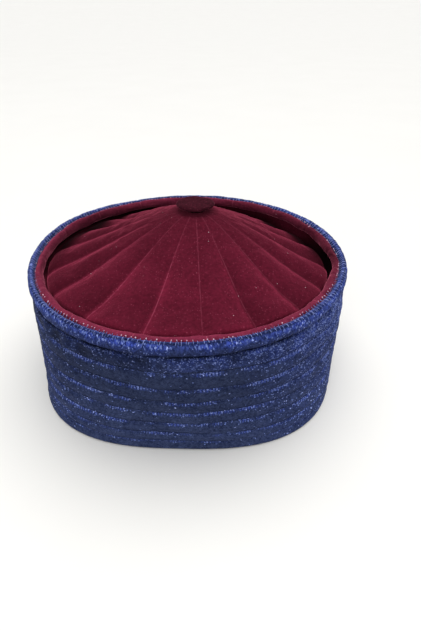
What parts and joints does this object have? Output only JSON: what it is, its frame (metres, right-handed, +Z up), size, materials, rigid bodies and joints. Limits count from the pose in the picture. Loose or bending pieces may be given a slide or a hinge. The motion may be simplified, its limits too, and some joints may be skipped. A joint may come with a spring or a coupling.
{
  "type": "brimless cap",
  "caption": "Tall brimless cap with a quilted blue metallic wall, a rolled rim and a tent-shaped wine velvet crown topped by a button; worn on the head.",
  "frame": {"origin": "centre of the box round the cap, on the surface that the hem stands on", "axes": "+Z up through the crown's button, -Y towards the front of the cap, +X to the right as seen from the front"},
  "size_m": [0.1878, 0.1888, 0.1003],
  "materials": {
    "blue_metallic_cloth": "woven cloth with glinting metallic thread",
    "wine_velvet": "velvet pile"
  },
  "bodies": {
    "root": {"quilted_wall": "blue_metallic_cloth", "rim_bead": "blue_metallic_cloth", "velvet_roll": "wine_velvet", "velvet_crown": "wine_velvet", "crown_button": "wine_velvet"}
  },
  "joints": []
}
